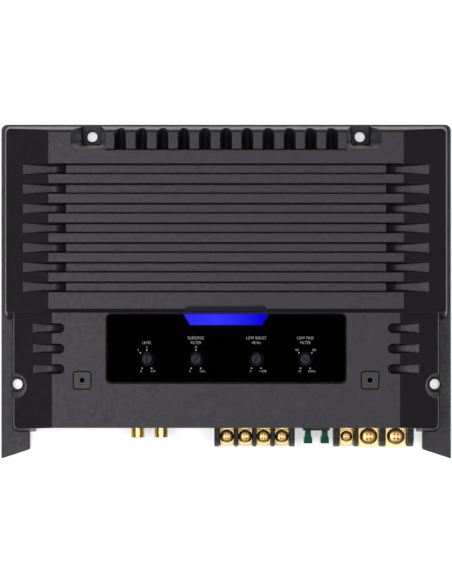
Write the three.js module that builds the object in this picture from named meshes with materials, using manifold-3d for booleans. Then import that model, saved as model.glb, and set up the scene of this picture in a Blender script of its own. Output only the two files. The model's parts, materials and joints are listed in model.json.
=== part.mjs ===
// A mono car audio amplifier: a finned die-cast chassis over a circuit board, with a gloss control
// panel on its deck and screw terminals, fuses and phono sockets along its front edge.
//
// Units are millimetres. +X runs to the right along the fins, +Y points at the toothed rear edge,
// -Y at the connectors, and +Z up. The origin is the centre of the footprint, on the mounting surface.

import * as THREE from "three";
import { mergeVertices } from "three/addons/utils/BufferGeometryUtils.js";
import Module from "manifold-3d";

const wasm = await Module();
wasm.setup();

// ---------------------------------------------------------------- driving dimensions

const HALF_WIDTH = 136; // to the outside of the base flange
const REAR = 101; // base flange, rear edge
const FLANGE_TOP = 6;
const TOP = 50; // finned plateau
const DECK = 46.5; // control deck
const DRAFT = 0.105; // wall taper of the casting, as a tangent: 6 degrees
const ROOF_SLOPE = 0.58; // fall of the sloping shoulders per mm outwards
const GAP = 0.3; // between parts that touch

const UPPER = { side: 134, front: -16.6, rear: 100.2, shoulder: 104.7 }; // outer faces at FLANGE_TOP
const LOWER = { side: 129.2, front: -84.7, rear: 0, shoulder: 102.8 };
const STEP = { top: -10.2, bottom: -12.3, eave: 34 }; // the plateau's front face, upright down to its eave
const REAR_CHAMFER = 94.1; // where the plateau starts to fall to the rear
const LEG = { inner: 118.9, innerTip: -95.4, outerTip: -101, root: -80 };
const FRONT_OPENING = 115; // half width between the casting's front pillars

const GROOVE = { count: 7, first: 72.4, pitch: 11.6, width: 6.1, floor: 44, flatEnd: 94.7, runOut: 120.3 };
const GROOVE_END = { exit: 41, fall: 1.13, climb: 0.12 }; // fall and climb are angles in radians
const SLOT = { first: -21.6, pitch: 12.05, count: 3, width: 5.5, ledge: 44, inner: 95.7, outer: 114.4 };
const SLOT_END = { exit: 39.8, fall: 1.05, climb: 0.2 };
const TOOTH = { count: 12, pitch: 12.49, width: 5.8, front: 83.8, floorFront: 32, floorRear: 27 };

const REAR_HOLE = { x: 81, y: 93.7 };
const SIDE_HOLE = { x: 126.4, y: -56 };
const MOUNT_HOLE_R = 3.1;
const MOUNT_CHAMFER_R = 3.7;
const RECESS = { inner: 75.8, outer: 86.6, front: 89 }; // around each rear hole, at FLANGE_TOP
const SCALLOP_R = 4.6; // around each side hole, at FLANGE_TOP
const BOSS_WALL = 2.8; // wall of the casting round each side hole

const PANEL_RECESS = { half: 71, front: -54.3, rear: -12.9, floor: 43.9 };
const PANEL = { half: 70.4, front: -53.7, rear: -13.3, bottom: 44, top: 46.1 };
const LIGHT = { rearHalf: 24.9, frontHalf: 21.3, front: -19.7 };
const INSERT = { x: 85, y: -52.3, size: 10.6, depth: 1.4, sleeve: 3.6, bore: 1.6 };

const TRIMMER = { y: -39.8, r: 3.05, hole: 4.15, top: 45.3, chamfer: 0.35, slotHalf: 0.4, slotDepth: 1.2 };
const TRIMMERS = [
  { name: "level", x: -46.8, slot: 0 }, // slot: degrees clockwise from 12 o'clock
  { name: "low_cut", x: -17.85, slot: 30 },
  { name: "boost", x: 17.85, slot: 28 },
  { name: "low_pass", x: 46.8, slot: -46 },
];

const BOARD = { half: 114, front: -72, rear: 75, bottom: 6, top: 7.6 };
const CONTROL_BOARD = { half: 78, front: -52, rear: -21, bottom: 30, top: 31.6 };
const PLATE = { bottom: 1.2, top: 2.6, front: -76.7 };
const CAVITY = { lowerHalf: 125.4, upperHalf: 130.7, split: -7, back: -74, rear: 80.5 };
const REAR_BAYS = [
  [-127, -93.6, 94], // low x, high x, rear end
  [-66, 66, 95.5],
  [93.6, 127, 94],
];
const END_PLATE = { front: -78.6, rear: -77.1, bottom: 2.9 };
const POSTS = [
  [-108, -60],
  [108, -60],
  [-108, 68],
  [108, 68],
];
const POST_R = 4.5;

const RCA = { xs: [-53, -39], z: 18, tip: -87.5, r: 4.15, bore: 3.6, core: 2.9 };
const TERMINAL_Y = -87; // screw centres
const TERMINAL_TIP = -93;
const SHELF = 14; // top of the terminal blocks' shelf
const SPEAKER = { left: -7.1, right: 41.1, xs: [0.5, 11.5, 22.5, 33.5], cell: 8.8 };
const POWER = { left: 64.4, right: 112.2, xs: [72.3, 85.7, 102], cells: [8.6, 13, 13] };
const FUSE = { xs: [48.9, 58.9], z: 19.2, tip: -90.6, head: 5.1, neck: 3.6, width: 19 };
const HOLDER = { left: 46, right: 61.8, face: -82.8, rear: -66, top: 31 };

const SCREWS = {
  remote: { head: 3.4, headHeight: 2.2, shank: 1.7, washer: 7.8, thick: 1 },
  small: { head: 4.05, headHeight: 2.5, shank: 1.95, washer: 8.2, thick: 1 },
  large: { head: 5.2, headHeight: 3, shank: 2.45, washer: 12.2, thick: 1.2 },
};

// ---------------------------------------------------------------- materials

const material = (color, roughness, metalness) =>
  new THREE.MeshStandardMaterial({ color, roughness, metalness });

const MATERIALS = {
  casting: material("#3a3a3d", 0.55, 0.2),
  gloss: material("#050506", 0.08, 0),
  light: material("#1a1aff", 0.25, 0),
  plastic: material("#2a2a2d", 0.5, 0),
  gold: material("#d8a648", 0.25, 1),
  steel: material("#8c8c90", 0.35, 1),
  blackSteel: material("#1d1d1f", 0.5, 0.6),
  fuseGreen: material("#0a6b3c", 0.2, 0),
  board: material("#1f5a34", 0.6, 0),
  trimmer: material("#2f2f36", 0.5, 0),
  ferrite: material("#2d4a3a", 0.6, 0),
  sleeve: material("#16161c", 0.4, 0),
};

// ---------------------------------------------------------------- solids

// A closed three.js geometry as a manifold-3d solid, turned right way out if its faces point in.
function solid(geometry) {
  const bare = geometry.index ? geometry.toNonIndexed() : geometry.clone();
  bare.deleteAttribute("normal");
  bare.deleteAttribute("uv");
  const merged = mergeVertices(bare, 1e-4);
  const triVerts = new Uint32Array(merged.index.array);
  const build = () =>
    new wasm.Manifold(
      new wasm.Mesh({ numProp: 3, vertProperties: merged.attributes.position.array, triVerts }),
    );
  const made = build();
  if (made.volume() > 0) return made;
  for (let i = 0; i < triVerts.length; i += 3) {
    [triVerts[i], triVerts[i + 1]] = [triVerts[i + 1], triVerts[i]];
  }
  return build();
}

function geometryOf(manifold) {
  const mesh = manifold.getMesh();
  return new THREE.BufferGeometry()
    .setAttribute("position", new THREE.BufferAttribute(mesh.vertProperties, 3))
    .setIndex(new THREE.BufferAttribute(mesh.triVerts, 1));
}

const join = (solids) => solids.reduce((a, b) => a.add(b));
const cut = (body, cutters) => cutters.reduce((a, b) => a.subtract(b), body);

// A box from its low and high faces along each axis.
function box(x0, x1, y0, y1, z0, z1) {
  const geometry = new THREE.BoxGeometry(x1 - x0, y1 - y0, z1 - z0);
  return solid(geometry.translate((x0 + x1) / 2, (y0 + y1) / 2, (z0 + z1) / 2));
}

// An upright cylinder or cone.
function upright(x, y, z0, z1, r0, r1 = r0, segments = 24) {
  const geometry = new THREE.CylinderGeometry(r1, r0, z1 - z0, segments);
  return solid(geometry.rotateX(Math.PI / 2).translate(x, y, (z0 + z1) / 2));
}

// A cylinder or cone lying along Y.
function lying(x, z, y0, y1, r0, r1 = r0, segments = 24) {
  const geometry = new THREE.CylinderGeometry(r1, r0, y1 - y0, segments);
  return solid(geometry.translate(x, (y0 + y1) / 2, z));
}

const shapeOf = (points) => new THREE.Shape(points.map(([a, b]) => new THREE.Vector2(a, b)));
const extruded = (shape, depth) =>
  new THREE.ExtrudeGeometry(shape, { depth, bevelEnabled: false, curveSegments: 6 });

// A plan outline (x, y) raised from z0 to z1.
const plan = (shape, z0, z1) => solid(extruded(shape, z1 - z0).translate(0, 0, z0));

// A front outline (x, z) run along Y from y0 to y1.
const alongY = (points, y0, y1) =>
  solid(extruded(shapeOf(points), y1 - y0).rotateX(Math.PI / 2).translate(0, y1, 0));

// A side outline (y, z) run along X from x0 to x1.
function alongX(points, x0, x1) {
  const turn = new THREE.Matrix4().makeBasis(
    new THREE.Vector3(0, 1, 0),
    new THREE.Vector3(0, 0, 1),
    new THREE.Vector3(1, 0, 0),
  );
  return solid(extruded(shapeOf(points), x1 - x0).applyMatrix4(turn).translate(x0, 0, 0));
}

const mirrored = (points) => [...points, ...points.map(([x, z]) => [-x, z]).reverse()];

// The skin through a row of matching convex outlines, closed at both ends.
function loft(rings) {
  const n = rings[0].length;
  const positions = rings.flat().flatMap((p) => p);
  const index = [];
  for (let r = 0; r + 1 < rings.length; r += 1) {
    for (let i = 0; i < n; i += 1) {
      const a = r * n + i;
      const b = r * n + ((i + 1) % n);
      index.push(a, b, b + n, a, b + n, a + n);
    }
  }
  const last = (rings.length - 1) * n;
  for (let i = 1; i + 1 < n; i += 1) {
    index.push(0, i + 1, i);
    index.push(last, last + i, last + i + 1);
  }
  const geometry = new THREE.BufferGeometry()
    .setAttribute("position", new THREE.Float32BufferAttribute(positions, 3))
    .setIndex(index);
  return solid(geometry);
}

// The corners of a rounded rectangle at height z, as a ring of points.
function roundedRing(x0, x1, y0, y1, r, z, steps = 5) {
  const corners = [
    [x1 - r, y1 - r, 0],
    [x0 + r, y1 - r, 1],
    [x0 + r, y0 + r, 2],
    [x1 - r, y0 + r, 3],
  ];
  return corners.flatMap(([cx, cy, quarter]) =>
    Array.from({ length: steps + 1 }, (_, i) => {
      const angle = ((quarter + i / steps) * Math.PI) / 2;
      return [cx + r * Math.cos(angle), cy + r * Math.sin(angle), z];
    }),
  );
}

// A block with rounded upright corners, whose sides lean in by DRAFT as they rise.
function draftedBlock(x0, x1, y0, y1, r, z0, z1) {
  const lean = (z1 - z0) * DRAFT;
  return loft([
    roundedRing(x0, x1, y0, y1, r, z0),
    roundedRing(x0 + lean, x1 - lean, y0 + lean, y1 - lean, r, z1),
  ]);
}

// A pocket that widens by DRAFT as it rises.
function draftedPocket(x0, x1, y0, y1, r0, r1, z0, z1) {
  const lean = (z1 - z0) * DRAFT;
  return loft([
    roundedRing(x0, x1, y0, y1, r0, z0),
    roundedRing(x0 - lean, x1 + lean, y0 - lean, y1 + lean, r1, z1),
  ]);
}

function roundedShape(x0, x1, y0, y1, r) {
  return shapeOf(roundedRing(x0, x1, y0, y1, r, 0).map(([x, y]) => [x, y]));
}

// ---------------------------------------------------------------- chassis

const roofAt = (x, top, shoulder) => top - Math.max(0, Math.abs(x) - shoulder) * ROOF_SLOPE;

// The casting's outside above the flange: a drafted block under a roof with sloping shoulders.
function hullBlock({ side, front, rear, shoulder }, top) {
  const block = draftedBlock(-side, side, front, rear, 3, FLANGE_TOP - 1, TOP + 1);
  const eave = roofAt(side, top, shoulder);
  const roof = mirrored([
    [side + 1, 0],
    [side + 1, eave - ROOF_SLOPE],
    [shoulder, top],
  ]);
  return block.intersect(alongY(roof, -120, REAR + 5));
}

// What is cut away in front of the plateau's front face, and above its chamfered rear edge.
function plateauEnds() {
  const above = TOP + 3;
  const front = [
    [UPPER.front - 2, FLANGE_TOP],
    [UPPER.front, FLANGE_TOP],
    [STEP.bottom, STEP.eave],
    [STEP.bottom, DECK],
    [STEP.top, TOP],
    [STEP.top, above],
    [UPPER.front - 2, above],
  ];
  const fall = 12;
  const rear = [
    [REAR_CHAMFER, TOP],
    [REAR_CHAMFER + fall, TOP - fall],
    [REAR_CHAMFER + fall, above],
    [REAR_CHAMFER, above],
  ];
  return [front, rear].map((outline) => alongX(outline, -HALF_WIDTH, HALF_WIDTH));
}

// The base flange, with the two legs that stand out past the terminals.
function flange() {
  const r = 3.5;
  const shape = new THREE.Shape();
  shape.moveTo(-HALF_WIDTH, LEG.outerTip);
  shape.lineTo(-LEG.inner, LEG.innerTip);
  shape.lineTo(-LEG.inner, LEG.root);
  shape.lineTo(LEG.inner, LEG.root);
  shape.lineTo(LEG.inner, LEG.innerTip);
  shape.lineTo(HALF_WIDTH, LEG.outerTip);
  shape.lineTo(HALF_WIDTH, REAR - r);
  shape.absarc(HALF_WIDTH - r, REAR - r, r, 0, Math.PI / 2, false);
  shape.lineTo(-HALF_WIDTH + r, REAR);
  shape.absarc(-HALF_WIDTH + r, REAR - r, r, Math.PI / 2, Math.PI, false);
  return plan(shape, 0, FLANGE_TOP);
}

// The side line of a cut's run-out, from the end of its flat floor at a to its exit at b. It drops in
// an arc that starts at the angle fall, then climbs straight at the angle climb.
function runOut(a, b, { fall, climb }) {
  const slope = Math.tan(climb);
  const width = Math.sin(fall) + Math.sin(climb);
  const drop = Math.cos(climb) - Math.cos(fall);
  const radius = (a[1] - b[1] + slope * (b[0] - a[0])) / (drop + slope * width);
  const centre = [a[0] + radius * Math.sin(fall), a[1] + radius * Math.cos(fall)];
  const steps = 7;
  const arc = Array.from({ length: steps + 1 }, (_, i) => {
    const angle = -fall + ((fall + climb) * i) / steps;
    return [centre[0] + radius * Math.sin(angle), centre[1] - radius * Math.cos(angle)];
  });
  const beyond = 4;
  return [...arc, b, [b[0] + beyond, b[1] + beyond * slope]];
}

// The outline across a drafted cut whose mouth is as wide all along the roof above it.
function cutRing(x, floor, roof, y, width) {
  const above = TOP + 2;
  const low = width / 2 - (roof - floor) * DRAFT;
  const high = width / 2 + (above - roof) * DRAFT;
  return [
    [x, y - low, floor],
    [x, y + low, floor],
    [x, y + high, above],
    [x, y - high, above],
  ];
}

// One long groove between two fins, with a deeper run-out at each end.
function grooveCutter(y) {
  const flatEnd = [GROOVE.flatEnd, GROOVE.floor];
  const half = runOut(flatEnd, [GROOVE.runOut, GROOVE_END.exit], GROOVE_END);
  const line = [...half.map(([x, z]) => [-x, z]).reverse(), ...half];
  return loft(
    line.map(([x, z]) => cutRing(x, z, roofAt(x, TOP, UPPER.shoulder), y, GROOVE.width)),
  );
}

// A short slot beside the control panel: round at its inner end, with a run-out at its outer end.
function slotCutter(y, side) {
  const line = runOut([SLOT.inner, SLOT.ledge], [SLOT.outer, SLOT_END.exit], SLOT_END);
  const channel = loft(
    line.map(([x, z]) => cutRing(side * x, z, roofAt(x, DECK, LOWER.shoulder), y, SLOT.width)),
  );
  const half = SLOT.width / 2;
  const start = side * (SLOT.inner + half);
  const end = start + side * 30;
  const [low, high] = [30, TOP + 3];
  const round = upright(start, y, low, high, half - (DECK - low) * DRAFT, half + (high - DECK) * DRAFT);
  const rest = box(Math.min(start, end), Math.max(start, end), y - SLOT.width, y + SLOT.width, low, high);
  return channel.intersect(round.add(rest));
}

// The notch between two teeth, open at the rear, with its floor falling to the rear.
function toothGap(x) {
  const mouth = (TOOTH.pitch - TOOTH.width) / 2;
  const ring = (y, floor) => [
    [x - mouth + (TOP - floor) * DRAFT, y, floor],
    [x + mouth - (TOP - floor) * DRAFT, y, floor],
    [x + mouth + 2 * DRAFT, y, TOP + 2],
    [x - mouth - 2 * DRAFT, y, TOP + 2],
  ];
  return loft([ring(TOOTH.front, TOOTH.floorFront), ring(REAR + 2, TOOTH.floorRear)]);
}

function rearRecess(side) {
  const [x0, x1] = [side * RECESS.inner, side * RECESS.outer].sort((a, b) => a - b);
  return draftedPocket(x0, x1, RECESS.front, REAR + 6, 1.6, 4, FLANGE_TOP, TOP + 2);
}

const scallop = (side, grow = 0) =>
  upright(
    side * SIDE_HOLE.x,
    SIDE_HOLE.y,
    grow ? -1 : FLANGE_TOP,
    DECK,
    SCALLOP_R + grow,
    SCALLOP_R + grow + (DECK - FLANGE_TOP) * DRAFT,
    36,
  );

function mountHole(x, y) {
  const through = upright(x, y, -1, FLANGE_TOP + 1, MOUNT_HOLE_R, MOUNT_HOLE_R, 28);
  const depth = MOUNT_CHAMFER_R - MOUNT_HOLE_R;
  const chamfer = upright(
    x,
    y,
    FLANGE_TOP - depth,
    FLANGE_TOP + depth,
    MOUNT_HOLE_R,
    MOUNT_CHAMFER_R + depth,
    28,
  );
  return through.add(chamfer);
}

// A shallow sloping emblem notch in the plateau's front edge, over the light window.
function emblemNotch() {
  const [front, rear] = [-14, -7.8];
  const outline = shapeOf([
    [-LIGHT.rearHalf - 3, front],
    [LIGHT.rearHalf + 3, front],
    [LIGHT.rearHalf - 3.2, rear],
    [-LIGHT.rearHalf + 3.2, rear],
  ]);
  const ramp = [
    [rear, TOP],
    [front, TOP - 2.8],
    [front, TOP + 2],
    [rear, TOP + 2],
  ];
  return plan(outline, DECK, TOP + 2).intersect(alongX(ramp, -40, 40));
}

// The front opening under the deck's edge, drawn in by the given margin.
function frontOutline(margin) {
  const edge = 3.2 + margin; // below the roof
  const half = FRONT_OPENING - margin;
  return mirrored([
    [half, margin ? END_PLATE.bottom : -2],
    [half, roofAt(half, DECK, LOWER.shoulder) - edge],
    [LOWER.shoulder - margin, DECK - edge],
  ]);
}

// The hollow under the casting, less the posts, bosses and ribs that are cast inside it.
function cavity() {
  const below = -2;
  const { lowerHalf, upperHalf, split, back, rear } = CAVITY;
  const upper = mirrored([
    [upperHalf, below],
    [127.5, 33],
    [117, 36.6],
    [101, 36.3],
    [91.5, 41],
  ]);
  const lower = mirrored([
    [lowerHalf, below],
    [122.5, 31],
    [113, 35.4],
    [94.5, 35.4],
    [91, 43.2],
  ]);
  const space = join([
    alongY(upper, split, rear),
    alongY(lower, back, split + 1),
    alongY(frontOutline(0), -120, back + 1),
    ...REAR_BAYS.map(([x0, x1, y1]) => box(x0, x1, rear - 1, y1, below, x0 * x1 < 0 ? 24 : 33)),
  ]);
  const inside = [
    ...POSTS.map(([x, y]) => upright(x, y, BOARD.top + GAP, TOP, POST_R, POST_R, 20)),
    scallop(-1, BOSS_WALL),
    scallop(1, BOSS_WALL),
    box(-74, 74, -57.5, -10, 41, TOP), // frame under the control panel
    box(-62, 62, 66, 71, 12, TOP), // rib that the power transistors are clamped to
    box(69, 76, -40, -33, CONTROL_BOARD.top + GAP, TOP), // control board posts
    box(-76, -69, -40, -33, CONTROL_BOARD.top + GAP, TOP),
  ];
  return cut(space, inside);
}

function chassis() {
  const plateau = cut(hullBlock(UPPER, TOP), plateauEnds());
  const body = join([plateau, hullBlock(LOWER, DECK), flange()]);
  const sides = [-1, 1];
  const square = INSERT.size / 2;
  return cut(body, [
    cavity(),
    ...Array.from({ length: GROOVE.count }, (_, i) => grooveCutter(GROOVE.first - i * GROOVE.pitch)),
    ...sides.flatMap((side) =>
      Array.from({ length: SLOT.count }, (_, i) => slotCutter(SLOT.first - i * SLOT.pitch, side)),
    ),
    ...Array.from({ length: TOOTH.count - 1 }, (_, i) =>
      toothGap((i - (TOOTH.count - 2) / 2) * TOOTH.pitch),
    ),
    box(-71, 71, TOOTH.front - 0.3, TOOTH.front + 0.3, TOP - 1, TOP + 1),
    emblemNotch(),
    plan(
      roundedShape(-PANEL_RECESS.half, PANEL_RECESS.half, PANEL_RECESS.front, PANEL_RECESS.rear, 3),
      PANEL_RECESS.floor,
      DECK + 1,
    ),
    box(-62, 62, -50, -16.5, 30, TOP),
    ...sides.flatMap((side) => [
      rearRecess(side),
      scallop(side),
      mountHole(side * REAR_HOLE.x, REAR_HOLE.y),
      mountHole(side * SIDE_HOLE.x, SIDE_HOLE.y),
      plan(
        roundedShape(
          side * INSERT.x - square,
          side * INSERT.x + square,
          INSERT.y - square,
          INSERT.y + square,
          1.6,
        ),
        DECK - INSERT.depth - GAP,
        DECK + 1,
      ),
      upright(side * INSERT.x, INSERT.y, 30, DECK, INSERT.sleeve + GAP),
    ]),
    ...POSTS.map(([x, y]) => upright(x, y, 0, 22, 1.5, 1.5, 16)),
  ]);
}

// ---------------------------------------------------------------- base and front plate

// The sheet-steel base fills the casting's open underside, with an embossed seat under each corner
// of the board.
function bottomPlate() {
  const seats = POSTS.map(([x, y]) => upright(x, y, PLATE.top - 0.1, BOARD.bottom - GAP / 2, 6, 5, 16));
  const fit = 0.8; // clear of the drafted side walls
  const slab = (x0, x1, y0, y1) =>
    box(x0 + fit, x1 - fit, y0 + GAP, y1 - GAP, PLATE.bottom, PLATE.top);
  const { lowerHalf, upperHalf, split, back, rear } = CAVITY;
  const sheet = join([
    slab(-upperHalf, upperHalf, split, rear),
    slab(-lowerHalf, lowerHalf, back, split + 2),
    slab(-FRONT_OPENING, FRONT_OPENING, PLATE.front, back + 2),
    ...REAR_BAYS.map(([x0, x1, y1]) => slab(x0, x1, rear - 2, y1)),
  ]);
  const holes = POSTS.map(([x, y]) => upright(x, y, 0, 10, 1.8, 1.8, 16));
  const notches = [-1, 1].map((side) =>
    upright(side * SIDE_HOLE.x, SIDE_HOLE.y, 0, 10, SCALLOP_R + BOSS_WALL + 0.9),
  );
  return cut(join([sheet, ...seats]), [...holes, ...notches]);
}

function bottomScrew([x, y]) {
  const head = upright(x, y, 0.15, PLATE.bottom - 0.05, 2.6, 3.1, 20);
  const shank = upright(x, y, PLATE.bottom - 0.1, 18, 1.3, 1.3, 16);
  return head.add(shank).subtract(box(x - 2, x + 2, y - 0.4, y + 0.4, 0, 0.7));
}

// The front plate, with windows for the sockets, terminal blocks and fuse holder.
function endPlate() {
  const { front, rear } = END_PLATE;
  const sheet = alongY(frontOutline(GAP), front, rear);
  const window = (x0, x1, z0, z1) => box(x0 - GAP, x1 + GAP, front - 1, rear + 1, z0 - GAP, z1 + GAP);
  return cut(sheet, [
    window(SPEAKER.left, SPEAKER.right, BOARD.top, 27),
    window(POWER.left, POWER.right, BOARD.top, 27),
    window(HOLDER.left, HOLDER.right, BOARD.top, HOLDER.top),
    ...RCA.xs.map((x) => lying(x, RCA.z, front - 1, rear + 1, RCA.r + GAP)),
    lying((RCA.xs[0] + RCA.xs[1]) / 2, RCA.z, front - 1, rear + 1, 1.6),
  ]);
}

// ---------------------------------------------------------------- control deck

function lightOutline(grow) {
  const { rearHalf, frontHalf, front } = LIGHT;
  const rear = PANEL.rear + (grow ? 1 : 0);
  const lean = (rearHalf - frontHalf) / (PANEL.rear - front);
  return shapeOf([
    [-frontHalf - grow, front - grow],
    [frontHalf + grow, front - grow],
    [frontHalf + grow + lean * (rear - front), rear],
    [-frontHalf - grow - lean * (rear - front), rear],
  ]);
}

function controlPanel() {
  const { half, front, rear, bottom, top } = PANEL;
  return cut(plan(roundedShape(-half, half, front, rear, 2.6), bottom, top), [
    plan(lightOutline(0.25), bottom - 1, top + 1),
    ...TRIMMERS.map(({ x }) => upright(x, TRIMMER.y, bottom - 1, top + 1, TRIMMER.hole, TRIMMER.hole, 32)),
  ]);
}

// The light window is a block of clear plastic that reaches down towards the lamps on the board.
function lightWindow() {
  const face = plan(lightOutline(0), PANEL.bottom, PANEL.top - 0.1);
  const guide = box(-19, 19, LIGHT.front + 0.2, -16.9, CONTROL_BOARD.top + 2.5, PANEL.bottom + 0.1);
  return face.add(guide);
}

// A square-flanged threaded insert, flush with the deck.
function coverInsert(side) {
  const half = INSERT.size / 2 - GAP;
  const [x, y] = [side * INSERT.x, INSERT.y];
  const head = plan(
    roundedShape(x - half, x + half, y - half, y + half, 1.4),
    DECK - INSERT.depth,
    DECK - 0.1,
  );
  const sleeve = upright(x, y, 37, DECK - INSERT.depth + 0.1, INSERT.sleeve);
  return cut(head.add(sleeve), [
    upright(x, y, 30, DECK + 1, INSERT.bore),
    upright(x, y, DECK - 0.9, DECK + 0.1, INSERT.bore, INSERT.bore + 0.9),
  ]);
}

function controlBoard() {
  const { half, front, rear, bottom, top } = CONTROL_BOARD;
  const notch = (x) => upright(x, -36.5, bottom - 1, top + 1, 1.4, 1.4, 16);
  return cut(box(-half, half, front, rear, bottom, top), [notch(-72.5), notch(72.5)]);
}

const POT = { half: 5, r: 4.8, bore: 1.7, base: CONTROL_BOARD.top, shoulder: 35, top: 38 };

// A rotary control: a square case with a round collar for the shaft.
function potBody({ x }) {
  const y = TRIMMER.y;
  const { half, r, bore, base, shoulder, top } = POT;
  const square = box(x - half, x + half, y - half, y + half, base, shoulder);
  const collar = upright(x, y, shoulder - 0.1, top, r);
  return cut(square.add(collar), [upright(x, y, base + 0.6, top + 1, bore)]);
}

// A screwdriver-slotted shaft that turns in its control.
function trimmerShaft({ x, slot }) {
  const { r, top, chamfer, slotHalf, slotDepth } = TRIMMER;
  const knob = upright(0, 0, POT.top + 0.4, top - chamfer, r, r, 32);
  const crown = upright(0, 0, top - chamfer, top, r, r - chamfer, 32);
  const stem = upright(0, 0, POT.base + 0.9, POT.top + 0.5, POT.bore - 0.2);
  const groove = box(-slotHalf, slotHalf, -r, r, top - slotDepth, top + 1);
  return join([knob, crown, stem])
    .subtract(groove)
    .rotate([0, 0, -slot])
    .translate([x, TRIMMER.y, 0]);
}

// ---------------------------------------------------------------- connectors

function rcaHousing() {
  const [x0, x1] = [RCA.xs[0] - 7, RCA.xs[1] + 7];
  const face = END_PLATE.rear + 0.1;
  const block = box(x0, x1, face, -62, BOARD.top, 27);
  const cores = RCA.xs.map((x) => lying(x, RCA.z, RCA.tip + 0.8, face + 1, RCA.core));
  const middle = (RCA.xs[0] + RCA.xs[1]) / 2;
  return cut(join([block, ...cores]), [
    ...RCA.xs.map((x) => lying(x, RCA.z, RCA.tip - 1, -70, 1.65)),
    lying(middle, RCA.z, face - 1, face + 9, 1.5),
  ]);
}

function rcaShell(x) {
  const end = END_PLATE.rear - GAP + 0.2;
  const tube = lying(x, RCA.z, RCA.tip + 0.35, end, RCA.r, RCA.r, 36);
  const lip = lying(x, RCA.z, RCA.tip, RCA.tip + 0.35, RCA.r - 0.35, RCA.r, 36);
  return tube.add(lip).subtract(lying(x, RCA.z, RCA.tip - 1, end + 1, RCA.bore, RCA.bore, 36));
}

function rcaScrew() {
  const x = (RCA.xs[0] + RCA.xs[1]) / 2;
  const face = END_PLATE.front - 0.1;
  const head = lying(x, RCA.z, face - 2.4, face, 2.2, 2.7);
  const shank = lying(x, RCA.z, face - 0.1, face + 8, 1.25, 1.25, 16);
  return cut(head.add(shank), [
    box(x - 1.6, x + 1.6, face - 3, face - 1.2, RCA.z - 0.35, RCA.z + 0.35),
    box(x - 0.35, x + 0.35, face - 3, face - 1.2, RCA.z - 1.6, RCA.z + 1.6),
  ]);
}

const BLOCK = { floor: BOARD.top, back: -80.2, inner: -68, top: 26.7, wallBack: -76 };
const TAB = { thick: 1.2, rear: -73.5, pin: 4, pinBottom: 4.2 };

// The screws of one terminal block, with the cell that each stands in.
const CELLS = [
  ...SPEAKER.xs.map((x, i) => ({ id: `speaker_${i + 1}`, x, cell: SPEAKER.cell, screw: SCREWS.small })),
  ...POWER.xs.map((x, i) => ({
    id: `power_${i + 1}`,
    x,
    cell: POWER.cells[i],
    screw: i ? SCREWS.large : SCREWS.remote,
  })),
];

// A barrier block: a shelf and back wall with an upright barrier on each side of every cell.
function terminalBlock({ left, right }, cells) {
  const { floor, back, inner, top, wallBack } = BLOCK;
  const barrier = [
    [wallBack, SHELF - 1],
    [TERMINAL_TIP, SHELF - 1],
    [TERMINAL_TIP, top - 8],
    [TERMINAL_TIP + 2, top - 3],
    [TERMINAL_TIP + 5, top],
    [wallBack, top],
  ];
  const edges = [left, ...cells.flatMap(({ x, cell }) => [x - cell / 2, x + cell / 2]), right];
  const walls = cells.map((_, i) => alongX(barrier, edges[2 * i], edges[2 * i + 1]));
  walls.push(alongX(barrier, edges.at(-2), edges.at(-1)));
  const body = join([
    box(left, right, TERMINAL_TIP + 0.6, inner, floor, SHELF),
    box(left, right, back, wallBack, floor, top),
    ...walls,
  ]);
  return cut(body, [
    ...cells.map(({ x, screw }) => upright(x, TERMINAL_Y, floor + 0.8, SHELF + 1, screw.shank + 0.4)),
    ...cells.map(({ x, cell }) =>
      box(x - cell / 2, x + cell / 2, back - 1, inner - 1, SHELF, SHELF + TAB.thick + GAP),
    ),
    ...cells.map(({ x }) => box(x - 2.6, x + 2.6, TAB.rear - 1.7, inner + 1, floor - 1, SHELF + 1)),
  ]);
}

// A brass tab: flat under its screw, through the back wall, and down through the board.
function terminalTab({ x, cell, screw }) {
  const half = cell / 2 - GAP;
  const z0 = SHELF + 0.1;
  const flat = box(x - half, x + half, TERMINAL_TIP + 0.9, TAB.rear, z0, z0 + TAB.thick);
  const pin = box(x - TAB.pin / 2, x + TAB.pin / 2, TAB.rear - TAB.thick, TAB.rear, TAB.pinBottom, z0 + 0.1);
  const hole = upright(x, TERMINAL_Y, z0 - 1, z0 + 3, screw.shank + 0.3);
  return flat.add(pin).subtract(hole);
}

const TAB_TOP = SHELF + 0.1 + TAB.thick;

function clampWasher({ x, screw }) {
  const half = screw.washer / 2;
  const z0 = TAB_TOP + 0.1;
  const sheet = plan(
    roundedShape(x - half, x + half, TERMINAL_Y - half, TERMINAL_Y + half, 0.8),
    z0,
    z0 + screw.thick,
  );
  return sheet.subtract(upright(x, TERMINAL_Y, z0 - 1, z0 + 3, screw.shank + 0.3));
}

// A cross-recessed pan-head clamp screw.
function clampScrew({ x, screw }) {
  const { head, headHeight, shank, thick } = screw;
  const seat = TAB_TOP + 0.2 + thick;
  const profile = [
    [0, -7],
    [shank, -7],
    [shank, 0],
    [head, 0],
    [head, headHeight * 0.55],
    [head * 0.78, headHeight],
    [0, headHeight],
  ];
  const turned = new THREE.LatheGeometry(
    profile.map(([r, z]) => new THREE.Vector2(r, z)),
    20,
  );
  const arm = head * 0.55;
  const body = solid(turned.rotateX(Math.PI / 2));
  return cut(body, [
    box(-arm, arm, -0.4, 0.4, headHeight * 0.3, headHeight + 1),
    box(-0.4, 0.4, -arm, arm, headHeight * 0.3, headHeight + 1),
  ])
    .rotate([0, 0, 45])
    .translate([x, TERMINAL_Y, seat]);
}

// The holder for both fuses: a deep mouth for each fuse body and a slit for each blade.
const BLADE = { thick: 0.7, width: 5.2, z: 5.4, start: -79.6, end: -71.6 };

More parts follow.
